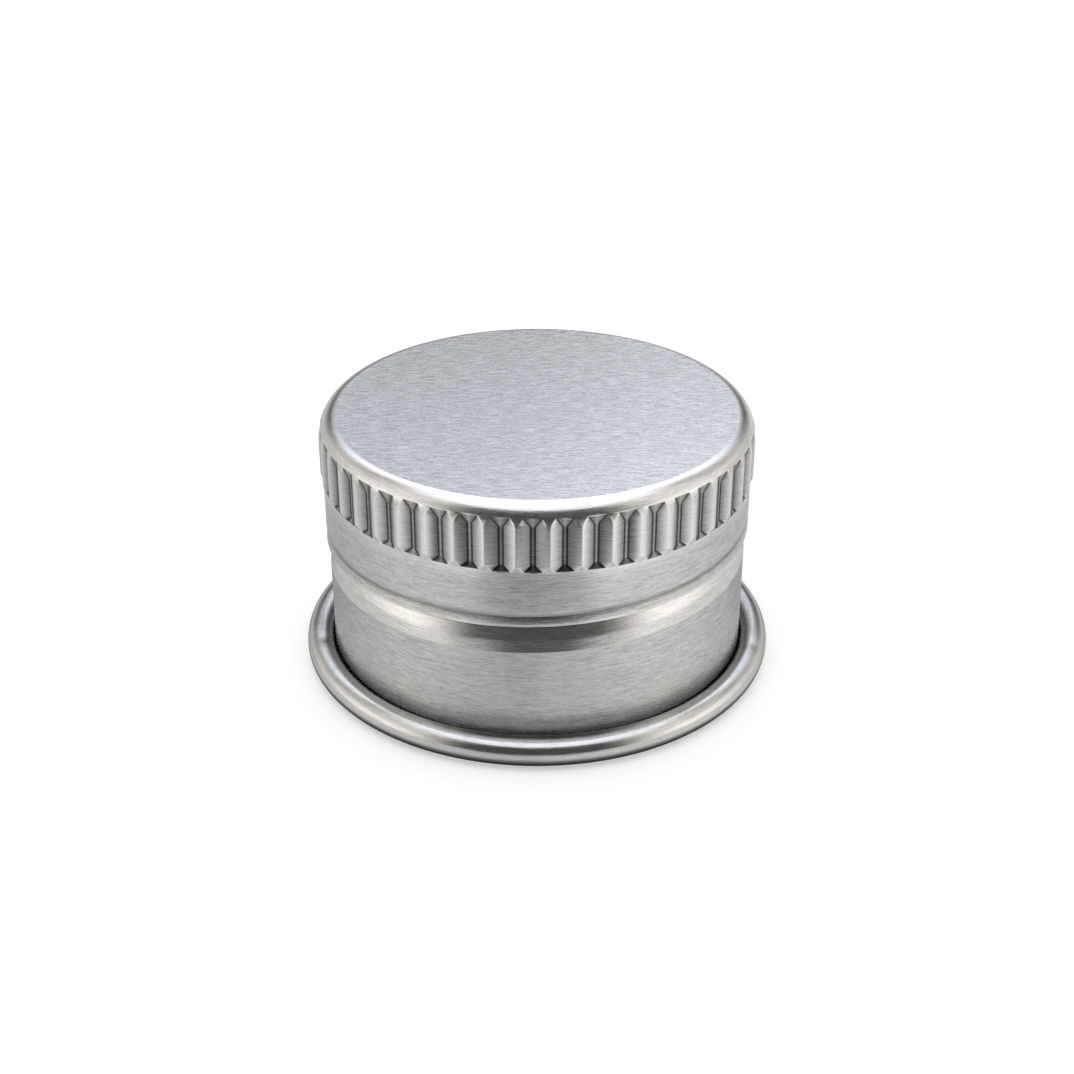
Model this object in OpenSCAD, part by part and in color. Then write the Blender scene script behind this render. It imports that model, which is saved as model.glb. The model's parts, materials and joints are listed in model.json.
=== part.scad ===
// Screw cap for a bottle, pressed and rolled from one thin aluminium cup.
// The cap stands on its curled rim, with its axis on Z and its mouth down.

/* [Overall size] */
// Height of the cap, from the floor under the curl to the top disc
cap_h = 18; // [17.5:0.1:24]
// Diameter over the ridges of the knurl
knurl_d = 29; // [24:0.1:36]
// Thickness of the aluminium sheet
wall = 0.23; // [0.15:0.01:0.3]

/* [Top and shoulder] */
// How far the shoulder reaches in from the knurl to the flat disc
shoulder_run = 1.2; // [0.8:0.05:1.5]
// How far the shoulder drops from the flat disc to the knurl
shoulder_drop = 1.5; // [1.2:0.05:2]

/* [Skirt] */
// Step in radius from the knurl's ridges to the plain skirt under them
skirt_step = 0.17; // [0.05:0.01:0.3]
// Step in radius from the skirt to the lower body under the thread
body_step = 0.16; // [0.05:0.01:0.3]

/* [Knurl] */
// Number of pressed flutes round the cap
flutes = 46; // [36:1:52]
// Turn of the first flute from the front of the cap, in degrees
flute_turn = -1; // [-4:0.5:4]
// Width of the ridge left between two flutes
ridge_w = 0.24; // [0.2:0.01:0.4]
// Width of the flat at the bottom of a flute
valley_w = 0.3; // [0.1:0.01:0.4]
// Slope of a flute's sides, from the tangent to the cap, in degrees
flank_angle = 23; // [18:1:34]
// Length of the flat bottom of a flute
valley_len = 2.66; // [2:0.01:3.5]
// Distance from the top disc down to the bottom flat of a flute
valley_drop = 1.45; // [1.2:0.01:2]
// Slope of a flute's upper end, from the vertical, in degrees
upper_end_angle = 15; // [13:1:45]
// Slope of a flute's lower end, from the vertical, in degrees
lower_end_angle = 24; // [18:1:50]

/* [Thread] */
// Height of the thread's upper edge at the front of the cap
thread_z = 9.65; // [8.5:0.05:10.5]
// Rise of the thread in one full turn
thread_lead = 2.2; // [1.5:0.1:3]
// Depth of the thread groove below the skirt
thread_depth = 0.73; // [0.4:0.01:0.9]
// Height of the thread's steep upper side
thread_upper_h = 0.35; // [0.2:0.01:0.6]
// Height of the straight bottom of the thread
thread_floor_h = 0.25; // [0.1:0.01:0.5]
// Height of the thread's long lower side
thread_lower_h = 1.35; // [1:0.01:1.8]
// Angle over which the thread runs, in degrees
thread_sweep = 330; // [270:5:340]
// Angle over which the thread fades out at each end, in degrees
thread_fade = 30; // [15:5:45]

/* [Curl] */
// Diameter of the rolled rim's tube
curl_tube_d = 1.94; // [1.6:0.01:2.4]
// Gap between the lower body and the rolled tube
curl_gap = 0; // [0:0.01:0.1]
// Slope of the flare from the body into the tube, in degrees
flare_angle = 30; // [20:1:40]
// Place on the tube where the rolled edge ends, in degrees past its outside
curl_end_angle = 152; // [120:1:156]

/* [Liner] */
// Thickness of the sealing liner
liner_t = 1.2; // [0.8:0.1:2]
// Clearance between the liner's edge and the sheet round it
liner_gap = 0.1; // [0.05:0.05:0.5]

/* [Hidden] */

$fn = 144;
past = 0.6;              // how far a cutter reaches past the metal
shoulder_bands = 8;      // cone bands that make up the shoulder
curl_bands = 28;         // cone bands round the rolled tube
thread_step = 5;         // degrees from one thread section to the next

knurl_r = knurl_d / 2;
skirt_r = knurl_r - skirt_step;
body_r = skirt_r - body_step;
flat_r = knurl_r - shoulder_run;
bore_r = body_r - wall;

// knurl: the flute is as wide as its share of the rim leaves it
flute_pitch = 2 * PI * knurl_r / flutes;
flank_w = (flute_pitch - ridge_w - valley_w) / 2;
flute_depth = flank_w * tan(flank_angle) + knurl_r * (1 - cos(180 / flutes));
valley_r = knurl_r - flute_depth;
valley_top = cap_h - valley_drop;
valley_bottom = valley_top - valley_len;
knurl_bottom = valley_bottom - (skirt_r - valley_r) / tan(lower_end_angle);

// thread: the groove's outline at the front of the cap
thread_r = skirt_r - thread_depth;
thread_floor_top = thread_z - thread_upper_h;
thread_floor_bottom = thread_floor_top - thread_floor_h;
thread_bottom = thread_floor_bottom - thread_lower_h;
lower_slope = (body_r - thread_r) / thread_lower_h;
groove_rim_r = knurl_r + past;

// curl: the sheet's outer face becomes the inside of the rolled tube
curl_r = curl_tube_d / 2;
curl_face_r = curl_r - wall;
curl_axis_r = body_r + curl_gap + curl_r;
flare_touch = [curl_axis_r - curl_face_r * cos(flare_angle),
               curl_r - curl_face_r * sin(flare_angle)];
flare_top = flare_touch.y + (flare_touch.x - body_r) / tan(flare_angle);

// liner: as wide as the flat disc, or as the ring of flutes inside where that is narrower
liner_r = min(flat_r, valley_r - wall) - liner_gap;

function unit(v) = v / norm(v);
function right_of(d) = [d.y, -d.x];
function reversed(list) = [for (i = [len(list) - 1 : -1 : 0]) list[i]];
function slice(list, from, to) = [for (i = [from : to]) list[i]];

// A path moved sideways by d, to the right of its direction, with mitred corners
function shifted(path, d) = [
    for (i = [0 : len(path) - 1])
        let (before = unit(path[max(i, 1)] - path[max(i, 1) - 1]),
             after = unit(path[min(i + 1, len(path) - 1)] - path[min(i, len(path) - 2)]),
             side = right_of(before) + right_of(after))
        path[i] + side * (2 * d / (side * side))
];

// Outer face of the sheet, from the rim of the flat disc down to the flare
wall_path = concat(
    [for (i = [0 : shoulder_bands])
        let (a = 90 * i / shoulder_bands)
        [flat_r + shoulder_run * sin(a), cap_h - shoulder_drop * (1 - cos(a))]],
    [[knurl_r, valley_bottom],
     [skirt_r, knurl_bottom],
     [skirt_r, thread_floor_top],
     [body_r, thread_floor_bottom - thread_floor_h],
     [body_r, flare_top]]);

// The same face carried on round the rolled rim, to the sheet's cut edge
curl_path = [
    for (i = [0 : curl_bands])
        let (a = 180 + flare_angle + (180 - flare_angle + curl_end_angle) * i / curl_bands)
        [curl_axis_r + curl_face_r * cos(a), curl_r + curl_face_r * sin(a)]
];
face_path = concat([[0, cap_h]], wall_path, curl_path);
inner_path = shifted(face_path, wall);
flare_index = len(wall_path);
last_index = len(face_path) - 1;

// Groove of the thread at the front of the cap, with both its sides carried on past the metal
groove_path = [
    [groove_rim_r, thread_z + (groove_rim_r - skirt_r) * thread_upper_h / thread_depth],
    [thread_r, thread_floor_top],
    [thread_r, thread_floor_bottom],
    [groove_rim_r, thread_bottom - (groove_rim_r - body_r) / lower_slope]
];

// One flute: a trough with sloping sides and ends, sunk further in by inset
module flute(inset) {
    floor_r = valley_r - inset;
    rim_r = knurl_r + past;
    rise = rim_r - floor_r;
    half_floor = valley_w / 2 + inset * tan(flank_angle / 2);
    half_rim = half_floor + rise / tan(flank_angle);
    floor_low = valley_bottom - inset * tan(lower_end_angle / 2);
    floor_high = valley_top + inset * tan(upper_end_angle / 2);
    rim_low = floor_low - rise / tan(lower_end_angle);
    rim_high = floor_high + rise / tan(upper_end_angle);
    polyhedron(
        points = [
            [floor_r, -half_floor, floor_low], [floor_r, half_floor, floor_low],
            [floor_r, half_floor, floor_high], [floor_r, -half_floor, floor_high],
            [rim_r, -half_rim, rim_low], [rim_r, half_rim, rim_low],
            [rim_r, half_rim, rim_high], [rim_r, -half_rim, rim_high]
        ],
        faces = [[0, 1, 2, 3], [7, 6, 5, 4], [0, 4, 5, 1], [1, 5, 6, 2], [2, 6, 7, 3], [3, 7, 4, 0]]
    );
}

// The ring of flutes, with one flute at the front of the cap
module flute_ring(inset) {
    for (i = [0 : flutes - 1])
        rotate(i * 360 / flutes + flute_turn - 90) flute(inset);
}

// How deep the thread is at an angle from the front, from 0 at its ends to 1
function thread_fullness(angle) =
    let (left = min(1, (thread_sweep / 2 - abs(angle)) / thread_fade))
    (1 - cos(180 * left)) / 2;

// The thread's groove, swept up and round the cap, sunk further in by inset
module thread_groove(inset) {
    section = shifted(groove_path, inset);
    sides = len(section);
    steps = ceil(thread_sweep / thread_step);
    points = [
        for (i = [0 : steps])
            let (angle = -thread_sweep / 2 + thread_sweep * i / steps,
                 out = (1 - thread_fullness(angle)) * (thread_depth + inset + past / 4),
                 up = thread_lead * angle / 360)
            for (p = section)
                [(p.x + out) * cos(angle - 90), (p.x + out) * sin(angle - 90), p.y + up]
    ];
    side_faces = [
        for (i = [0 : steps - 1], j = [0 : sides - 1])
            let (a = i * sides + j, b = i * sides + (j + 1) % sides)
            each [[a, b, b + sides], [a, b + sides, a + sides]]
    ];
    first_face = [for (j = [sides - 1 : -1 : 0]) j];
    last_face = [for (j = [0 : sides - 1]) steps * sides + j];
    polyhedron(points = points, faces = concat(side_faces, [first_face, last_face]), convexity = 4);
}

// Everything inside the outer face, with the curl's tube as its foot
module outer_blank() {
    difference() {
        rotate_extrude()
            polygon(concat(
                face_path,
                reversed(slice(inner_path, flare_index, last_index)),
                [[0, inner_path[flare_index].y]]));
        flute_ring(0);
        thread_groove(0);
    }
}

// The hollow of the cap, whose flutes and thread stand in from its wall
module cavity() {
    difference() {
        rotate_extrude()
            polygon(concat(slice(inner_path, 0, flare_index), [[bore_r, -past], [0, -past]]));
        flute_ring(wall);
        thread_groove(wall);
    }
}

module shell() {
    color("silver")
        difference() {
            outer_blank();
            cavity();
        }
}

// Sealing disc, flat against the inside of the top
module liner() {
    color("whitesmoke")
        translate([0, 0, cap_h - wall - liner_t])
            cylinder(r = liner_r, h = liner_t);
}

shell();
liner();
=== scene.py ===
# %% [markdown]
# # A knurled aluminium screw cap
#
# The real cap is pressed from one thin sheet of aluminium. Its top is a flat disc
# with a rounded shoulder, a ring of pressed flutes gives the fingers a hold, one turn
# of thread is rolled into the skirt, and the raw edge is curled outwards into a tube.
# A white sealing disc sits inside, against the top.
#
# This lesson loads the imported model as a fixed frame, then builds the visible metal
# again as one fine closed mesh, because a polished edge only looks right when it is
# really rounded. Everything is in metres in Blender and in millimetres in the sizes.

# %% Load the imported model
import json
import math

import bpy
import numpy as np
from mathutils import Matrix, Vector


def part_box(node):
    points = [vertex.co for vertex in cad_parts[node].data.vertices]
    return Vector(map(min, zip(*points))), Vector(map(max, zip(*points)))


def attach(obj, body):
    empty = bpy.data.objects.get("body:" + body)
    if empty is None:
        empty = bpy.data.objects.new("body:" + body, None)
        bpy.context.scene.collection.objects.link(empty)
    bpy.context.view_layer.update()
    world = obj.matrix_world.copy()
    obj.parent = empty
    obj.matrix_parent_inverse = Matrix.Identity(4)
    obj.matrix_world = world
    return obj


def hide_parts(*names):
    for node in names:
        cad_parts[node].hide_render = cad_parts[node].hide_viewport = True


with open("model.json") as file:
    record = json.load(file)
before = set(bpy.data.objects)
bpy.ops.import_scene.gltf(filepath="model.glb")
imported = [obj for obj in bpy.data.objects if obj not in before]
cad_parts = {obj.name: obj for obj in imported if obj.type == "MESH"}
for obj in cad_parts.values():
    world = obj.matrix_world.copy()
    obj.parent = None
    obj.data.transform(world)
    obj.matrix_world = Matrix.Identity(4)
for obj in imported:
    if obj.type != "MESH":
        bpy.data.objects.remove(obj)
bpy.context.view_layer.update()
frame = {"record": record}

# %% [markdown]
# ## Sizes
#
# The frame gives the overall height, the rim and the liner, and the record gives the
# bore that the bottle's neck goes into. The other sizes are those of the press tools:
# the shoulder, the flutes, the thread and the curl. Writing each of them once, with a
# name, keeps the outer and the inner face of the sheet a sheet's thickness apart.

# %% Sizes of the cap, in millimetres
MM = 0.001
shell_low, shell_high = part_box("shell")
liner_low, liner_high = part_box("liner")
cap_h = shell_high.z / MM
rim_r = shell_high.x / MM
bore_r = frame["record"]["mounts"][0]["dims"]["r_mm"]
wall = 0.23

body_r = bore_r + wall          # lower body, under the thread
skirt_r = body_r + 0.16         # plain skirt, over the thread
knurl_r = skirt_r + 0.17        # ridges of the knurl
shoulder_run, shoulder_drop = 1.2, 1.5
flat_r = knurl_r - shoulder_run

flutes, flute_turn = 46, -1.0
ridge_w, valley_w = 0.24, 0.30
flank_angle = math.radians(23)
flank_slope = math.tan(flank_angle)
upper_angle, lower_angle = math.radians(15), math.radians(24)
rim_drop = 0.76                 # from the disc down to a flute's top edge, on the shoulder
rim_top = cap_h - rim_drop
rim_top_r = flat_r + shoulder_run * math.sqrt(1 - (1 - rim_drop / shoulder_drop) ** 2)
valley_top = cap_h - 1.45
valley_bottom = valley_top - 2.66
flute_pitch = 2 * math.pi * knurl_r / flutes
flank_w = (flute_pitch - ridge_w - valley_w) / 2
valley_r = knurl_r * math.cos(math.pi / flutes) - flank_w * flank_slope
knurl_bottom = valley_bottom - (skirt_r - valley_r) / math.tan(lower_angle)

thread_z, thread_r = 9.65, skirt_r - 0.73
thread_lead, thread_sweep, thread_fade = 2.2, 330.0, 30.0

tube_r = 0.97
tube_face_r = tube_r - wall
tube_axis_r = rim_r - tube_r
flare_angle, curl_end = math.radians(30), math.radians(152)
print("foot of the cap at z", round(shell_low.z / MM, 3), "and of the liner at", round(liner_low.z / MM, 2))
print("knurl radius", knurl_r, "valley radius", round(valley_r, 3), "tube axis", round(tube_axis_r, 3))

# %% [markdown]
# ## Camera
#
# A small thing on a table is usually looked at from a hand's breadth away, and from
# about thirty degrees above it. The lens is a short telephoto, so the round top stays
# a clean ellipse and the walls lean together only a little.

# %% Camera
view_down = math.radians(28.88)
view_distance = 122.64 * MM
aim = Vector((0, 0, cap_h * 0.4502 * MM))
camera_data = bpy.data.cameras.new("camera")
camera_data.lens, camera_data.sensor_width = 59.63, 36.0
camera_data.clip_start, camera_data.clip_end = 0.005, 50
camera = bpy.data.objects.new("camera", camera_data)
bpy.context.scene.collection.objects.link(camera)
toward_camera = Vector((0, -math.cos(view_down), math.sin(view_down)))
camera.location = aim + toward_camera * view_distance
camera.rotation_mode = "QUATERNION"
camera.rotation_quaternion = (-toward_camera).to_track_quat("-Z", "Y")
bpy.context.scene.camera = camera
print("camera at, mm:", [round(v / MM, 1) for v in camera.location])

# %% [markdown]
# ## Paths with rounded corners
#
# A pressed sheet has no sharp corners: the punch and the die leave a small radius at
# each bend, and that radius is what catches the light as a thin bright line. So every
# outline below is a list of corners, each with its own radius. One helper rounds the
# corners and keeps the exact direction of the surface at each point, and another moves
# a whole path sideways by the thickness of the sheet, which gives the inner face.

# %% Helpers for paths
def shifted(path, by):
    """Moves a path of (r, z) corners to its right, with mitred corners."""
    path = np.asarray(path, float)
    steps = np.diff(path, axis=0)
    steps /= np.linalg.norm(steps, axis=1)[:, None]
    both = np.vstack([steps[:1], steps]) + np.vstack([steps, steps[-1:]])
    side = np.c_[both[:, 1], -both[:, 0]]
    return path + side * (2 * by / (side**2).sum(1))[:, None]


def rounded(corners, radii, parts=4):
    """Points and outward normals along a path of (r, z) corners, each rounded by its own radius."""
    corners = np.asarray(corners, float)
    points, normals = [], []

    def put(point, way):
        points.append(point)
        normals.append((-way[1], way[0]))

    ways = np.diff(corners, axis=0)
    lengths = np.linalg.norm(ways, axis=1)
    ways /= lengths[:, None]
    put(corners[0], ways[0])
    for i in range(1, len(corners) - 1):
        turn = math.acos(np.clip(ways[i - 1] @ ways[i], -1, 1))
        reach = radii[i - 1] * math.tan(turn / 2)
        reach = min(reach, 0.48 * lengths[i - 1], 0.48 * lengths[i])
        if reach < 1e-6:
            both = ways[i - 1] + ways[i]
            put(corners[i], both / np.linalg.norm(both))
            continue
        radius = reach / math.tan(turn / 2)
        start = corners[i] - ways[i - 1] * reach
        bend = 1 if ways[i - 1][0] * ways[i][1] - ways[i - 1][1] * ways[i][0] > 0 else -1
        centre = start + bend * radius * np.array([-ways[i - 1][1], ways[i - 1][0]])
        for k in range(parts + 1):
            a = bend * turn * k / parts
            way = np.array([
                ways[i - 1][0] * math.cos(a) - ways[i - 1][1] * math.sin(a),
                ways[i - 1][0] * math.sin(a) + ways[i - 1][1] * math.cos(a),
            ])
            put(centre + bend * radius * np.array([way[1], -way[0]]), way)
    put(corners[-1], ways[-1])
    return np.array(points), np.array(normals)


# %% [markdown]
# ## Rings
#
# The sheet is built as a chain of rings that starts at the middle of the top, runs out
# over the shoulder, down the wall, round the curl, over the cut edge and back up the
# inside to the middle again. Neighbouring rings are joined by faces, so the result is
# one closed skin with a true thickness. Rings in the knurl need many more columns than
# the plain ones, and where the count changes a fan of triangles makes the step.

# %% Helpers for rings
plain_columns = flutes * 5      # columns in a plain ring
rings = []                      # each ring: its points, its normals, its polish and its painted shade


def angles_of(count):
    """Angles of a ring's columns, from the front towards +X, starting on a flute."""
    return np.radians(flute_turn + 360.0 * np.arange(count) / count)


def polish_and_shade_of(count, burnish=0.0, painted_shade=0.0):
    """The polish and painted shade of a ring: how far a tool has polished it, and how much painted shade
    darkens it.
    """
    return np.c_[np.broadcast_to(burnish, count), np.broadcast_to(painted_shade, count)].astype(float)


def add_ring(angles, r, z, path_r, path_z, burnish=0.0, painted_shade=0.0):
    """Adds one ring; (path_r, path_z) is the direction in which the chain runs there."""
    r, z, path_r, path_z = (np.broadcast_to(v, angles.shape).astype(float) for v in (r, z, path_r, path_z))
    out = np.c_[np.sin(angles), -np.cos(angles)]
    points = np.c_[out * r[:, None], z]
    along = (np.roll(points, -1, axis=0) - np.roll(points, 1, axis=0))
    path = np.c_[out * path_r[:, None], path_z]
    normals = np.cross(path, along)
    normals /= np.linalg.norm(normals, axis=1)[:, None]
    rings.append((points, normals, polish_and_shade_of(len(points), burnish, painted_shade)))


def add_path(points, normals, angles=None, burnish=0.0, painted_shade=0.0):
    """Adds a ring for each point of a path that is the same all the way round."""
    angles = angles_of(plain_columns) if angles is None else angles
    burnish, painted_shade = (np.broadcast_to(v, len(points)) for v in (burnish, painted_shade))
    for (r, z), (nr, nz), polish, shade in zip(points, normals, burnish, painted_shade):
        add_ring(angles, r, z, nz, -nr, polish, shade)


# %% [markdown]
# ## From rings to a closed skin
#
# A boolean or a solidify step would also give the sheet its thickness, but it moves the
# points about, and the exact normals would be lost. Joining the rings by hand keeps
# each point's own normal, its polish and its painted shade, so the light runs smoothly over every bend.

# %% Helpers that join the rings
def join(n, m, a, b):
    """Faces between a ring of n points from a and one of m from b, with a fan where one has more."""
    faces = []
    if n == m:
        for j in range(n):
            k = (j + 1) % n
            faces.append((a + j, b + j, b + k, a + k))
    elif m > n:
        per = m // n
        for j in range(n):
            k = (j + 1) % n
            for f in range(per):
                apex = a + j if f < per // 2 else a + k
                faces.append((apex, b + j * per + f, b + (j * per + f + 1) % m))
            faces.append((a + j, b + j * per + per // 2, a + k))
    else:
        per = n // m
        for j in range(m):
            k = (j + 1) % m
            for f in range(per):
                apex = b + j if f < per // 2 else b + k
                faces.append((a + j * per + f, apex, a + (j * per + f + 1) % n))
            faces.append((a + j * per + per // 2, b + j, b + k))
    return faces


def closed_mesh(name, ring_list):
    """Makes a closed mesh object from rings whose first and last are single points."""
    counts = [len(ring[0]) for ring in ring_list]
    starts = np.concatenate([[0], np.cumsum(counts)])
    faces = []
    for i in range(len(ring_list) - 1):
        n, m = counts[i], counts[i + 1]
        a, b = int(starts[i]), int(starts[i + 1])
        if n == 1:
            faces += [(a, b + j, b + (j + 1) % m) for j in range(m)]
        elif m == 1:
            faces += [(a + j, b, a + (j + 1) % n) for j in range(n)]
        else:
            faces += join(n, m, a, b)
    points, normals, polish_and_shade = (np.vstack([ring[k] for ring in ring_list]) for k in range(3))
    mesh = bpy.data.meshes.new(name)
    mesh.from_pydata((points * MM).tolist(), [], faces)
    mesh.update()
    mesh.shade_smooth()
    mesh.normals_split_custom_set_from_vertices(normals.tolist())
    for k, label in enumerate(("burnish", "painted_shade")):
        layer = mesh.attributes.new(label, "FLOAT", "POINT")
        layer.data.foreach_set("value", polish_and_shade[:, k].astype(np.float32))
    piece = bpy.data.objects.new(name, mesh)
    bpy.context.scene.collection.objects.link(piece)
    triangles = sum(len(f) - 2 for f in faces)
    print(name, "has", len(points), "points and", triangles, "triangles")
    return piece


def add_pole(z, up):
    """Adds the single point on the axis that closes a disc."""
    rings.append((np.array([[0.0, 0.0, z]]), np.array([[0.0, 0.0, up]]), polish_and_shade_of(1)))


# %% [markdown]
# ## Top disc and shoulder
#
# The press stretches the sheet over a rounded punch, which leaves a flat disc and a
# shoulder that is tight at the top and eases off down the wall: a quarter of an
# ellipse. Steps are closer together near the disc, where the bend is tightest.

# %% Top disc and shoulder, outer face
def shoulder(steps, inset=0.0, until=90.0):
    """Points and normals on the shoulder, from the disc down, sunk in by inset."""
    a = np.radians(until) * (np.arange(steps + 1) / steps) ** 1.25
    normals = np.c_[np.sin(a) / shoulder_run, np.cos(a) / shoulder_drop]
    normals /= np.linalg.norm(normals, axis=1)[:, None]
    points = np.c_[flat_r + shoulder_run * np.sin(a), cap_h - shoulder_drop * (1 - np.cos(a))]
    return points - normals * inset, normals


flute_zone_top = cap_h - 0.50
flute_zone_low = knurl_bottom - 0.24
shoulder_points, _ = shoulder(200)
above = shoulder_points[:, 1] > flute_zone_top
print("shoulder reaches the flutes at radius", round(float(shoulder_points[above][-1][0]), 3))

add_pole(cap_h, 1.0)
for r in (0.5, 2.0, 5.0, 9.0, 12.0, flat_r - 0.25, flat_r - 0.06):
    add_ring(angles_of(plain_columns), r, cap_h, 1.0, 0.0)
until = math.degrees(math.acos(1 - (cap_h - flute_zone_top - 0.04) / shoulder_drop))
points, normals = shoulder(14, until=until)
add_path(points, normals, burnish=0.7 * np.clip((points[:, 0] - flat_r) / 0.1, 0, 1))

# %% [markdown]
# ## Flutes
#
# Each flute is one stroke of a knurling wheel: a trough with a narrow flat at the
# bottom, two sloping flanks, and a sloping facet at each end. It could be cut out of
# the wall with a boolean, but that leaves knife edges. Here the wall's radius is worked
# out from the planes of the trough instead, with a soft minimum where the trough leaves
# the wall and a soft maximum in its own corners. The columns of the mesh are moved so
# that they follow the edges of the facets, which keeps every edge clean and straight.

# %% Soft corners and the wall without flutes
def soft_max(a, b, width):
    """The greater of two radii, with the corner rounded over a width."""
    h = np.clip(0.5 + 0.5 * (a - b) / width, 0, 1)
    return b + (a - b) * h + width * h * (1 - h)


def soft_min(a, b, width):
    """The smaller of two radii, rounded in the same way."""
    return -soft_max(-a, -b, width)


def wall_table(inset):
    """The wall without flutes, as heights and radii from low to high."""
    top, _ = shoulder(400, inset)
    below = [(knurl_r, 15.0), (knurl_r, valley_bottom), (skirt_r, knurl_bottom), (skirt_r, 12.0)]
    low = shifted(below, inset)
    bend, _ = rounded(low, (0.25, 0.25), parts=16)
    path = np.vstack([top[top[:, 1] > 15.2], bend])
    return path[::-1, 1], path[::-1, 0]


# %% [markdown]
# A flute knows three things at any angle and height: how far out its surface is, how
# polished it is and how much painted shade darkens it, and where a mesh column should stand.
# The wheel rubs the rims bright. Painted shade darkens the bottom, the ends and the
# creases, where shade falls in the trough. Its strokes aren't quite level.

# %% One flute
class Trough:
    """One flute, sunk in by inset, in a frame whose angle is 0 at the flute's middle."""

    def __init__(self, inset, outer_round, inner_round):
        self.table = wall_table(inset)
        self.floor = valley_r - inset
        self.half_floor = valley_w / 2 + inset * math.tan(flank_angle / 2)
        self.rim = rim_top_r - inset / math.cos(upper_angle)
        self.low = valley_bottom - inset * math.tan(lower_angle / 2)
        self.outer_round, self.inner_round = outer_round, inner_round

    def wall_at(self, z):
        """Radius of the wall without flutes at a height."""
        return np.interp(z, *self.table)

    def planes(self, z):
        """Distances of the floor and of the nearer end facet from the axis, at a height."""
        upper = self.rim + (z - rim_top) * math.tan(upper_angle)
        lower = self.floor + (self.low - z) * math.tan(lower_angle)
        return self.floor + 0 * z, np.maximum(upper, lower)

    def sides(self, angle, z):
        """Radii of the flank, the floor and the end facet at an angle and a height."""
        c, s = np.cos(angle), np.abs(np.sin(angle))
        floor, end = self.planes(z)
        return (floor - self.half_floor * flank_slope) / (c - s * flank_slope), floor / c, end / c

    def radius(self, angle, z, slip=0.0):
        """Radius of the fluted wall; slip is how far this flute's stroke was off its height."""
        flank, floor, end = self.sides(angle, z + slip)
        trough = soft_max(soft_max(flank, floor, self.inner_round), end, self.inner_round)
        return soft_min(self.wall_at(z), trough, self.outer_round)

    def polish_and_shade(self, angle, z, slip=0.0):
        """Polish along the trough's rim, and painted shade in its bottom, its ends and its creases."""
        flank, floor, end = self.sides(angle, z + slip)
        bottom = np.maximum(end, floor)
        over = np.maximum(flank, bottom) - self.wall_at(z)
        inside = np.clip(0.5 - over / 0.05, 0, 1)
        burnish = 1.2 * np.exp(-(over / 0.035) ** 2) + (1 - inside) * 0.35
        # Painted shade: darker colour in the creases, at the ends and on the floor of the trough.
        crease = np.exp(-((flank - bottom) / 0.034) ** 2)
        at_end = np.clip(0.5 + (end - np.maximum(flank, floor)) / 0.03, 0, 1)
        at_floor = np.clip(0.5 + (floor - np.maximum(flank, end)) / 0.03, 0, 1)
        shade = 0.2 if z > valley_bottom + 1 else 0.5      # the lower end gets more painted shade
        painted_shade = 0.06 + shade * at_end + 0.3 * at_floor + 0.95 * crease
        return np.clip(burnish, 0, 1), inside * np.clip(painted_shade, 0, 1)

    def columns(self, z, layout, slip):
        """Angles of half a flute's columns at a height; layout places them by the facets' edges."""
        wall_r = self.wall_at(z)
        half = math.pi * wall_r / flutes
        floor, end = self.planes(z + slip)
        rise = max(wall_r - floor, 0)
        floor_edge = self.half_floor + min(max(end - floor, 0), rise) / flank_slope
        rim_edge = self.half_floor + rise / flank_slope
        floor_edge, rim_edge = min(floor_edge, half * 0.93), min(rim_edge, half * 0.95)
        gap = max(rim_edge - floor_edge, 0.03)
        soft_in = min(0.06, 0.3 * gap, 0.6 * floor_edge)
        soft_out = min(0.10, 0.3 * gap, 0.9 * (half - rim_edge))
        spots = {"f": (floor_edge, soft_in), "r": (rim_edge, soft_out)}
        y = [0.0] + [spots[k][0] + spots[k][1] * t for k, t in layout] + [half]
        y = np.maximum.accumulate(np.array(y))
        y += np.arange(len(y)) * 1e-3
        return np.clip(y / y[-1], 0, 1) * math.pi / flutes


# %% Rings through the flutes
fine_layout = [("f", -1), ("f", -1 / 3), ("f", 1 / 3), ("f", 1),
               ("r", -1), ("r", -0.5), ("r", 0), ("r", 0.5), ("r", 1)]
coarse_layout = [("f", -0.8), ("f", 0.8), ("r", -0.8), ("r", 0.8)]


def flute_heights(top, rim_top, floor_top, floor_low, rim_low, low, fine):
    """Heights of the rings, close together where the facets meet."""
    marks = [(rim_top, 0.12, 5), (floor_top, 0.11, 5), (floor_low, 0.07, 5), (rim_low, 0.09, 5)]
    if not fine:
        marks = [(z, reach, 2) for z, reach, _ in marks]
    z = [top, low]
    for mark, reach, parts in marks:
        z += [mark + reach * (2 * k / parts - 1) for k in range(parts + 1)]
    spare = 0.28 if fine else 0.55
    z = sorted(z, reverse=True)
    filled = [z[0]]
    for value in z[1:]:
        gap = filled[-1] - value
        count = max(1, math.ceil(gap / spare))
        filled += [filled[-1] - gap * (k + 1) / count for k in range(count)]
    return filled


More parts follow.
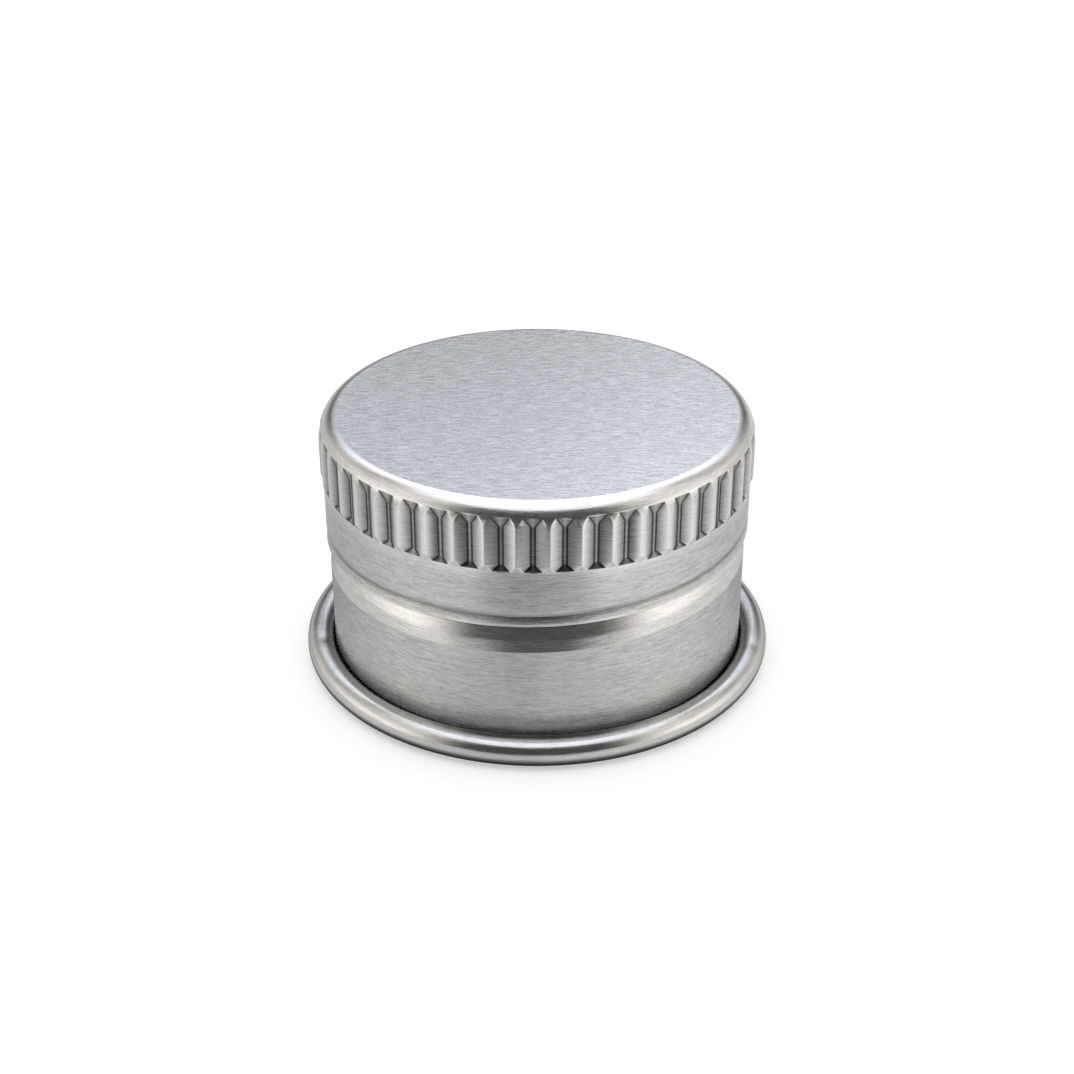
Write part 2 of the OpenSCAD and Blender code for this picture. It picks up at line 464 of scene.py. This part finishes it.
def add_flute_rings(trough, layout, heights, up=False):
    """Adds the rings of the knurl from a trough, from the top down, or from below if up."""
    half = len(layout) + 1
    pitch = 2 * math.pi / flutes
    eps_z, eps_a = 0.004, 0.004 / knurl_r
    shift = np.random.default_rng(5).normal(0, 0.03, flutes)
    slip = np.repeat(shift[:, None], 2 * half, axis=1)
    slip[:, half:] = np.roll(shift, -1)[:, None]        # the second half belongs to the next flute
    order = heights[::-1] if up else heights
    even = np.arange(half + 1) / half * pitch / 2
    for z in order:
        ease = min(1, (heights[0] - z) / 0.12, (z - heights[-1]) / 0.12)
        halves = np.array([trough.columns(z, layout, s) for s in shift]) * ease + even * (1 - ease)
        whole = np.hstack([halves[:, :-1], pitch - np.roll(halves, -1, axis=0)[:, :0:-1]])
        own = np.where(np.arange(2 * half) > half, whole - pitch, whole)
        r = trough.radius(own, z, slip)
        turn = (trough.radius(own + eps_a, z, slip) - trough.radius(own - eps_a, z, slip)) / (2 * eps_a)
        rise = (trough.radius(own, z + eps_z, slip) - trough.radius(own, z - eps_z, slip)) / (2 * eps_z)
        starts = np.radians(flute_turn) + pitch * np.arange(flutes)
        angles = (starts[:, None] + whole).ravel()
        burnish, painted_shade = trough.polish_and_shade(own, z, slip)
        r, turn, rise, burnish, painted_shade = (v.ravel() for v in (r, turn, rise, burnish, painted_shade))
        out = np.c_[np.sin(angles), -np.cos(angles)]
        across = np.c_[np.cos(angles), np.sin(angles)]
        flat = out - across * (turn / r)[:, None]
        normals = np.c_[flat, -rise]
        normals /= np.linalg.norm(normals, axis=1)[:, None]
        rings.append((np.c_[out * r[:, None], np.full(len(r), z)], -normals if up else normals,
                      polish_and_shade_of(len(r), burnish, painted_shade)))


outer_trough = Trough(0.0, outer_round=0.05, inner_round=0.03)
outer_heights = flute_heights(flute_zone_top, rim_top, valley_top, valley_bottom,
                              knurl_bottom, flute_zone_low, fine=True)
add_flute_rings(outer_trough, fine_layout, outer_heights)
print("rings through the flutes:", len(outer_heights))

# %% [markdown]
# ## Skirt and thread
#
# The thread is rolled in from outside by a small wheel that follows the neck of the
# bottle, so it climbs as it goes round and fades out at both ends. The wheel presses
# the sheet in under a little rolled lip, and below it the metal comes back out in a
# long slope. A faint crease runs over the lip. The outline is drawn once, at the front,
# then each column of the mesh carries it up or down by its own share of the lead.

# %% Rings of the thread
def lift(angles):
    """How far the thread has climbed at an angle from the front; it eases back behind."""
    turn = (np.degrees(angles) + 180) % 360 - 180
    reach = thread_sweep / 2
    behind = np.where(turn > 0, turn - reach, turn + 360 - reach) / (360 - thread_sweep)
    eased = 1 - 2 * (3 * behind**2 - 2 * behind**3)
    return thread_lead / 360 * np.where(np.abs(turn) <= reach, turn, reach * eased)


def fullness(angles):
    """How deep the thread is at an angle, from 0 behind to 1."""
    turn = np.abs((np.degrees(angles) + 180) % 360 - 180)
    share = np.clip((thread_sweep / 2 - turn) / thread_fade, 0, 1)
    return (1 - np.cos(np.pi * share)) / 2


def plain_wall(z):
    """The wall with no thread: the skirt steps in to the lower body."""
    t = np.clip((z - 8.8) / 0.5, 0, 1)
    return body_r + (skirt_r - body_r) * t * t * (3 - 2 * t)


def add_thread_rings(points, normals, inset):
    """Adds the thread's rings from its outline at the front."""
    angles = angles_of(plain_columns)
    full, up = fullness(angles), lift(angles)
    for (r, z), (nr, nz) in zip(points, normals):
        height = z + up
        plain = plain_wall(height) - inset
        slope = (plain_wall(height + 0.01) - plain_wall(height - 0.01)) / 0.02
        polish = 0.55 if foot_z < z < thread_z + 0.2 else 0
        # Painted shade darkens the crease, a band just above it and the groove under the lip.
        crease = 0.56 * math.exp(-((z - crease_z) / 0.05) ** 2)
        above = 0.12 if 0.05 < z - crease_z < 0.33 else 0
        under = 0.8 if floor_top - 0.15 < z < thread_z - 0.08 else 0
        add_ring(angles, (1 - full) * plain + full * r, height,
                 full * nz - (1 - full) * slope * nr, -nr,
                 polish * full, full * min(1, crease + above + under))


def add_between(rows, high_z, low_z, r, high_turns, low_turns, downward=True):
    """Adds plain rings between two heights, either of which may climb with the thread."""
    angles = angles_of(plain_columns)
    up = lift(angles)
    for k in range(1, rows + 1):
        t = k / (rows + 1)
        high = high_z + up * high_turns
        low = low_z + up * low_turns
        z = high * (1 - t) + low * t if downward else low * (1 - t) + high * t
        add_ring(angles, r, z, 0.0, -1.0 if downward else 1.0)


floor_top, floor_low = thread_z - 0.35, thread_z - 0.60
foot_z = floor_low - 1.35
thread_high, thread_low = 11.0, foot_z - 0.45
crease_z = 10.34
thread_corners = [(skirt_r, thread_high), (skirt_r, 10.72), (skirt_r - 0.11, crease_z),
                  (skirt_r - 0.005, 9.96), (skirt_r + 0.01, thread_z + 0.03), (thread_r, floor_top - 0.04),
                  (thread_r + 0.05, floor_top - 0.17), (thread_r + 0.35, floor_low - 0.62),
                  (body_r, foot_z), (body_r, thread_low)]
thread_radii = (0.3, 0.06, 1.5, 0.04, 0.06, 0.6, 2.5, 0.05)

add_between(3, flute_zone_low, thread_high, skirt_r, 0, 1)
add_thread_rings(*rounded(thread_corners, thread_radii, parts=4), 0.0)
print("rings down to the foot of the thread:", len(rings))

# %% [markdown]
# ## Curled rim
#
# A raw edge of thin aluminium cuts fingers, so it is flared and rolled outwards into a
# tube. The sheet's outer face ends up inside the tube and its inner face outside, and
# the cut edge tucks in just above the flare, next to the wall. Two small dents show that
# the rim is thin: they are pushed into the rings of the tube while these are made.

# %% Rings of the curl and the cut edge
def tube_path(radius, steps, backwards=False):
    """Points round the tube, with normals that point to the free side of the sheet."""
    a = np.linspace(math.pi + flare_angle, 2 * math.pi + curl_end, steps + 1)
    out = np.c_[np.cos(a), np.sin(a)]
    points = np.array([tube_axis_r, tube_r]) + radius * out
    return (points[::-1], out[::-1]) if backwards else (points, -out)


touch_r = tube_axis_r - tube_face_r * math.cos(flare_angle)
touch_z = tube_r - tube_face_r * math.sin(flare_angle)
flare_top = touch_z + (touch_r - body_r) / math.tan(flare_angle)
flare = [(body_r, 2.2), (body_r, flare_top), (touch_r, touch_z)]
add_between(4, thread_low, 3.3, body_r, 1, 0)
# Painted shade darkens the foot of the wall and the flare, where the tube meets the wall.
for z, shade in ((3.3, 0.0), (3.0, 0.0), (2.7, 0.08), (2.45, 0.22)):
    add_path([(body_r, z)], [(1, 0)], painted_shade=shade)
flare_points, flare_normals = rounded(flare, (0.5,), parts=4)
add_path(flare_points[:-1], flare_normals[:-1], painted_shade=0.3)
add_path(*tube_path(tube_face_r, 24))
edge_way = np.array([math.cos(curl_end), math.sin(curl_end)])
edge_face = np.array([-math.sin(curl_end), math.cos(curl_end)])
for share in (0.12, 0.5, 0.88):
    bulge = 0.03 * math.sqrt(1 - (2 * share - 1) ** 2)
    point = np.array([tube_axis_r, tube_r]) + edge_way * (tube_face_r + wall * share) + edge_face * bulge
    add_path([point], [edge_face])


def dent(around, along):
    """Depth of the two small dents in the tube, in mm, from the angles round the cap and the tube."""
    depth = 0
    for where, place, length, deep in ((-78, 96, 24, 0.05), (75, 55, 40, 0.04)):
        off = (np.degrees(around) - where + 180) % 360 - 180
        depth = depth + deep * np.exp(-(off / 2.0) ** 2 - ((along - place) / length) ** 2)
    return depth


angles = angles_of(plain_columns)
for (r, z), (nr, nz) in zip(*tube_path(tube_r, 48, backwards=True)):
    along = math.degrees(math.atan2(nz, nr))
    # Painted shade darkens the whole tube a little, and more on its inner side, where it turns back towards
    # the wall.
    tucked = min(1, max(0, (along - 62) / 30))
    inward = dent(angles, along)
    add_ring(angles, r - nr * inward, z - nz * inward, nz, -nr, 0.75, 0.17 + 0.3 * tucked)
print("rings down to the end of the curl:", len(rings))

# %% [markdown]
# ## Inner face
#
# Inside, everything shows again as a print of the outside, one sheet's thickness
# further in: the bore over the neck, the thread that grips it, the flutes and the
# shoulder. The same helpers make it, with the thickness as the inset.

# %% Rings of the inner face, from the mouth up
inner_flare = shifted(flare, wall)
points, normals = rounded(inner_flare[::-1], (0.6,), parts=4)
add_path(points[1:], normals[1:])
inner_corners = shifted([(skirt_r, thread_high), (skirt_r, thread_z), (thread_r, floor_top),
                         (thread_r, floor_low), (body_r, foot_z), (body_r, thread_low)], wall)[::-1]
add_between(3, thread_low, inner_flare[0][1], bore_r, 1, 0, downward=False)
add_thread_rings(*rounded(inner_corners, (0.2, 0.15, 0.15, 0.15), parts=3), wall)
inner_trough = Trough(wall, outer_round=0.06, inner_round=0.05)
inner_heights = flute_heights(flute_zone_top - 0.22, 16.95, valley_top + 0.05, inner_trough.low,
                              knurl_bottom - 0.06, flute_zone_low, fine=False)
add_between(2, flute_zone_low, thread_high, skirt_r - wall, 0, 1, downward=False)
add_flute_rings(inner_trough, coarse_layout, inner_heights, up=True)
inner_until = 46.0
points, normals = shoulder(8, wall, inner_until)
add_path(points[::-1], -normals[::-1])
for r in (12.6, 8.0, 3.0, 0.6):
    add_ring(angles_of(plain_columns), r, cap_h - wall, -1.0, 0.0)
add_pole(cap_h - wall, -1.0)
cap_sheet = closed_mesh("cap_sheet", rings)

# %% [markdown]
# ## Liner
#
# The seal is a disc cut from a sheet of white foam and pushed up against the top. A
# knife pulls a soft sheet's edge over a little, so the rim is rounded, and the bottle's
# mouth leaves a shallow ring in the face.

# %% Liner
rings = []
liner_top, liner_bottom = liner_high.z / MM, liner_low.z / MM
liner_r = liner_high.x / MM
liner_outline = [(0.6, liner_top), (liner_r, liner_top), (liner_r, liner_bottom),
                 (12.9, liner_bottom), (12.5, liner_bottom + 0.07), (10.9, liner_bottom + 0.07),
                 (10.5, liner_bottom), (0.6, liner_bottom)]
liner_points, liner_normals = rounded(liner_outline, (0.12, 0.2, 0.5, 0.4, 0.4, 0.5), parts=4)
add_pole(liner_top, 1.0)
add_path(liner_points, liner_normals, angles_of(flutes * 4))
add_pole(liner_bottom, -1.0)
liner_disc = closed_mesh("liner_disc", rings)

# %% [markdown]
# ## Materials
#
# Satin aluminium is a metal with fine scratches that all run one way: along the sheet
# on the flat top, and round the cap on the walls. Each scratch scatters light across
# itself and hardly along itself, so highlights are drawn out across the grain. Noise
# that is stretched along the grain gives the scratches, in colour, roughness and bump.

# %% Helpers for materials
def new_material(name):
    material = bpy.data.materials.new(name)
    material.use_nodes = True
    tree = material.node_tree
    shader = tree.nodes["Principled BSDF"]
    return material, tree, shader


def add_node(tree, kind, inputs=None, **settings):
    """Adds a node, sets its fields and fills its inputs with values or links."""
    made = tree.nodes.new(kind)
    for key, value in settings.items():
        setattr(made, key, value)
    for key, value in (inputs or {}).items():
        if isinstance(value, bpy.types.NodeSocket):
            tree.links.new(value, made.inputs[key])
        else:
            made.inputs[key].default_value = value
    return made


def calc(tree, operation, *values, clamp=False):
    """A math node; returns its output."""
    return add_node(tree, "ShaderNodeMath", dict(enumerate(values)),
                    operation=operation, use_clamp=clamp).outputs[0]


def grain(tree, where, stretch, scale, detail=3.0, rough=0.6, twist=0.0):
    """Noise in millimetres, stretched by three factors; returns its output from 0 to 1."""
    scaled = add_node(tree, "ShaderNodeMapping", {"Vector": where, "Scale": stretch})
    noise = add_node(tree, "ShaderNodeTexNoise",
                     {"Vector": scaled.outputs[0], "Scale": scale, "Detail": detail,
                      "Roughness": rough, "Distortion": twist})
    return noise.outputs[0]


# %% Brushed aluminium
metal, tree, shader = new_material("brushed_aluminium")
place = add_node(tree, "ShaderNodeTexCoord").outputs["Object"]
in_mm = add_node(tree, "ShaderNodeVectorMath", {0: place, 1: (1000, 1000, 1000)},
                 operation="MULTIPLY").outputs[0]
height = add_node(tree, "ShaderNodeSeparateXYZ", {0: in_mm}).outputs["Z"]
near_top = calc(tree, "MULTIPLY_ADD", height, 12.0, -12.0 * (cap_h - 0.1), clamp=True)
on_top = calc(tree, "SMOOTH_MIN", near_top, 1.0, 0.1)
top_grain = grain(tree, in_mm, (0.9, 9.0, 1.0), 1.0, twist=0.4)
wall_grain = grain(tree, in_mm, (0.8, 0.8, 12.0), 1.0, detail=2.0, twist=0.7)
top_fine = grain(tree, in_mm, (4.0, 20.0, 1.0), 1.0)
wall_fine = grain(tree, in_mm, (2.5, 2.5, 22.0), 1.0, twist=0.6)


def pick(tree, share, low, high):
    """Eases from one output to another by a share from 0 to 1."""
    return calc(tree, "MULTIPLY_ADD", share, calc(tree, "SUBTRACT", high, low), low)


scratches = pick(tree, on_top, wall_grain, top_grain)
fine = pick(tree, on_top, wall_fine, top_fine)
both = calc(tree, "MULTIPLY_ADD", scratches, 0.55, calc(tree, "MULTIPLY", fine, 0.45))
both = calc(tree, "MULTIPLY_ADD", both, 3.4, -1.2, clamp=True)

# %% [markdown]
# The mesh carries two more things at each point: how much a tool has burnished the
# metal there, and how much painted shade darkens it. Burnished metal is brighter and smoother and
# its scratches are rubbed away; painted shade darkens the colour in the creases, the flutes'
# ends and floors, under the thread's lip and where the tube meets the wall. The shine runs round the
# cap on the walls and straight across on the disc, as the brush went.

# %% Polish and painted shade of the metal
burnish = add_node(tree, "ShaderNodeAttribute", attribute_name="burnish").outputs["Fac"]
painted_shade = add_node(tree, "ShaderNodeAttribute", attribute_name="painted_shade").outputs["Fac"]
worn = calc(tree, "MULTIPLY_ADD", burnish, -0.65, 1.0)
worn = calc(tree, "MULTIPLY", worn, calc(tree, "MULTIPLY_ADD", on_top, 0.22, 0.78))
both = calc(tree, "MULTIPLY_ADD", calc(tree, "SUBTRACT", both, 0.5), worn, 0.5)
tone = calc(tree, "MULTIPLY_ADD", both, 0.58, 0.435)
tone = calc(tree, "MULTIPLY_ADD", burnish, 0.27, tone)
# Painted shade: the colour gets darker, down to 7 percent of its tone, where the mesh marks shade.
tone = calc(tree, "MULTIPLY", tone, calc(tree, "MULTIPLY_ADD", painted_shade, -0.93, 1.0))
colour = add_node(tree, "ShaderNodeCombineColor", {0: tone, 1: tone, 2: tone}).outputs[0]
tree.links.new(colour, shader.inputs["Base Color"])
shader.inputs["Metallic"].default_value = 1.0
shader.inputs["Anisotropic"].default_value = 0.6
shader.inputs["Anisotropic Rotation"].default_value = 0.25
rough = calc(tree, "MULTIPLY_ADD", both, 0.09, 0.215)
rough = calc(tree, "MULTIPLY_ADD", burnish, -0.13, rough)
tree.links.new(rough, shader.inputs["Roughness"])
bump = add_node(tree, "ShaderNodeBump", {"Height": both, "Strength": 1.0, "Distance": 0.000005})
tree.links.new(bump.outputs[0], shader.inputs["Normal"])
round_way = add_node(tree, "ShaderNodeTangent", direction_type="RADIAL", axis="Z").outputs[0]
way = add_node(tree, "ShaderNodeMix", {0: on_top, 4: round_way, 5: (1, 0, 0)},
               data_type="VECTOR").outputs[1]
tree.links.new(way, shader.inputs["Tangent"])
cap_sheet.data.materials.append(metal)
print("brushed_aluminium has", len(tree.nodes), "nodes")

# %% [markdown]
# ## Foam of the liner
#
# The seal is soft white foam with closed cells. Fine round noise gives its faint grain,
# in colour and as a little bump, and a high roughness keeps it matt.

# %% Liner foam
foam, tree, shader = new_material("liner_foam")
place = add_node(tree, "ShaderNodeTexCoord").outputs["Object"]
in_mm = add_node(tree, "ShaderNodeVectorMath", {0: place, 1: (1000, 1000, 1000)},
                 operation="MULTIPLY").outputs[0]
cells = grain(tree, in_mm, (1, 1, 1), 9.0)
tone = add_node(tree, "ShaderNodeMix", {0: cells, 6: (0.82, 0.82, 0.80, 1), 7: (0.93, 0.93, 0.91, 1)},
                data_type="RGBA").outputs[2]
tree.links.new(tone, shader.inputs["Base Color"])
shader.inputs["Roughness"].default_value = 0.7
bump = add_node(tree, "ShaderNodeBump", {"Height": cells, "Strength": 0.4, "Distance": 0.00002})
tree.links.new(bump.outputs[0], shader.inputs["Normal"])
liner_disc.data.materials.append(foam)
print("liner_foam has", len(tree.nodes), "nodes")

# %% [markdown]
# ## Joining the frame
#
# The cap has no moving parts, so both pieces ride on the one body, root. Each of them
# stands in for one piece of the imported model, which is hidden.

# %% Attach the pieces to the frame
for piece, node_name, slot_name in ((cap_sheet, "shell", "brushed_aluminium"),
                                    (liner_disc, "liner", "liner_foam")):
    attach(piece, "root")
    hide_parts(node_name)
    print(piece.name, "replaces", node_name)

# %% [markdown]
# ## Studio
#
# Metal shows its surroundings, so most of the look of this cap is the room round it.
# A small shiny thing looks best in a tent of white cloth: lamps outside make its
# sides, its back and its roof glow, and the opening in front, where the camera looks
# in, stays dark. That dark opening is what gives the middle of the thread and the top
# of the flutes their depth. The tent here is seen only by the metal. The table and the
# liner are lit by a plain white room.

# %% White room and table
scene = bpy.context.scene
scene.view_settings.view_transform = "Standard"
world = bpy.data.worlds.new("white_room")
scene.world = world
world.use_nodes = True
world.node_tree.nodes["Background"].inputs["Color"].default_value = (1, 1, 1, 1)
world.node_tree.nodes["Background"].inputs["Strength"].default_value = 1.0


def stage_mesh(name, points, faces, material):
    """Makes a mesh that belongs to the studio and not to the cap."""
    mesh = bpy.data.meshes.new(name)
    mesh.from_pydata(np.asarray(points).tolist(), [], faces)
    mesh.materials.append(material)
    thing = bpy.data.objects.new(name, mesh)
    scene.collection.objects.link(thing)
    return thing


table, tree, shader = new_material("white_table")
shader.inputs["Base Color"].default_value = (0.94, 0.94, 0.94, 1)
shader.inputs["Roughness"].default_value = 0.9
shader.inputs["Specular IOR Level"].default_value = 0.0
shader.inputs["Emission Color"].default_value = (1, 1, 1, 1)
rays = add_node(tree, "ShaderNodeLightPath").outputs
mirrored = calc(tree, "ADD", rays["Is Glossy Ray"], rays["Is Transmission Ray"])
seen = calc(tree, "ADD", rays["Is Camera Ray"], mirrored, clamp=True)
tree.links.new(calc(tree, "MULTIPLY", seen, 0.24), shader.inputs["Emission Strength"])
stage_mesh("table_top", [(-3, -3, 0), (3, -3, 0), (3, 3, 0), (-3, 3, 0)], [(0, 1, 2, 3)], table)

# %% [markdown]
# The tent is a dome, and the cloth on the table is a flat ring round the cap. How
# bright each spot is depends on its direction: away from the opening, and high or low.
# The helper below eases from one level to another, and a few such steps make the tent.


# %% Light tent
def ease(value, start, end):
    """0 before start, 1 after end, smooth between them."""
    t = np.clip((value - start) / (end - start), 0, 1)
    return t * t * (3 - 2 * t)


def tent_glow(around, up):
    """Red, green and blue of the tent; around is from the front, up from the table, in degrees."""
    off = np.abs(around)
    sides = ease(off, 30, 68) * (1 - 0.45 * ease(off, 80, 125))
    low = sides * np.where(around > 0, 0.98, 0.94) * (1.12 - 0.4 * ease(up, 12, 34))
    roof = ease(up, 50, 64)
    back = ease(off, 118, 158)
    lean = 1 + np.where(around > 0, 0.6, 0.06) * np.exp(-((172 - off) / 6) ** 2)
    rise = 0.11 + 1.31 * ease(up, 17, 46)
    level = (0.07 + low) * (1 - back) + back * lean * (rise + 0.3 * (1 - ease(up, 3, 15)))
    level = level * (1 - roof) + roof * (1.15 + 0.15 * back)
    cool = back * ease(up, 10, 40)
    warm = (1 - cool) * (1 - 0.7 * roof)
    warm_white, cool_white = np.array([1.0, 0.965, 0.90]), np.array([0.94, 0.985, 1.08])
    tint = warm_white * warm[..., None] + cool_white * (1 - warm)[..., None]
    return level[..., None] * tint


def cloth_glow(around, out):
    """Red, green and blue of the cloth on the table; out is the distance from the axis, in mm."""
    off = np.abs(around)
    near = 0.57 + 0.14 * np.exp(-((off - 50) / 24) ** 2)
    near = near - (0.17 - 0.1 * ease(out, 23, 27)) * ease(off, 76, 112)
    near = near * (0.93 + 0.07 * ease(out, 23, 28))
    near = near + 0.05 * (1 - ease(out, 18, 23)) * (1 - ease(off, 20, 50))
    near = near + 0.16 * np.exp(-((off - 31) / 7) ** 2) * ease(out, 30, 34)
    near = near * (1 + 0.13 * ease(out, 26, 32) * ease(off, 40, 70))
    far = 0.12 + 0.66 * ease(off, 12, 30) * (1 - 0.25 * ease(off, 44, 70))
    share = ease(out, 32, 48)
    level = (near * (1 - share) + far * share) * np.where(around > 0, 1.05, 0.91)
    # Painted shadow: next to the rim the cloth's glow drops almost to nothing, standing in for the cap's
    # shadow on it.
    level = level * (0.06 + 0.94 * ease(out, 16.0, 17.4))
    return level[..., None] * np.array([1.0, 0.99, 0.97])


# %% [markdown]
# Both cloths are grids whose points carry their own colour of light. Only reflections
# see them, so they add nothing to the white room's light on the table and the liner.

# %% Cloths that glow
def glowing(name, points, colours, columns, rows):
    """A grid that glows with its own colour at each point and that only the metal sees."""
    material = bpy.data.materials.new(name)
    material.use_nodes = True
    tree = material.node_tree
    tree.nodes.clear()
    colour = add_node(tree, "ShaderNodeAttribute", attribute_name="glow").outputs["Color"]
    glow = add_node(tree, "ShaderNodeEmission", {"Color": colour, "Strength": 1.0})
    out = add_node(tree, "ShaderNodeOutputMaterial")
    tree.links.new(glow.outputs[0], out.inputs["Surface"])
    faces = [(i * columns + j, i * columns + (j + 1) % columns,
              (i + 1) * columns + (j + 1) % columns, (i + 1) * columns + j)
             for i in range(rows - 1) for j in range(columns)]
    grid = stage_mesh(name, points.reshape(-1, 3), faces, material)
    layer = grid.data.attributes.new("glow", "FLOAT_COLOR", "POINT")
    layer.data.foreach_set("color", np.c_[colours.reshape(-1, 3), np.ones(columns * rows)].ravel())
    grid.visible_camera = grid.visible_diffuse = grid.visible_shadow = False
    return grid


columns = 120
around = np.linspace(-180, 180, columns, endpoint=False)
a = np.radians(around)
up = np.linspace(0, 89.5, 46)
A, U = np.meshgrid(a, np.radians(up))
dome = 0.8 * np.stack([np.cos(U) * np.sin(A), -np.cos(U) * np.cos(A), np.sin(U)], axis=-1)
glowing("light_tent", dome, tent_glow(np.degrees(A), np.degrees(U)), columns, len(up))
reach = np.concatenate([np.linspace(15.6, 20, 12), np.linspace(21, 100, 50), [150, 300, 800]])
A, O = np.meshgrid(a, reach)
ring = np.stack([O * np.sin(A), -O * np.cos(A), 0 * O + 0.05], axis=-1) * MM
glowing("table_cloth", ring, cloth_glow(np.degrees(A), O), columns, len(reach))
print("tent of", len(up), "rows and table cloth of", len(reach), "rows, with", columns, "columns each")
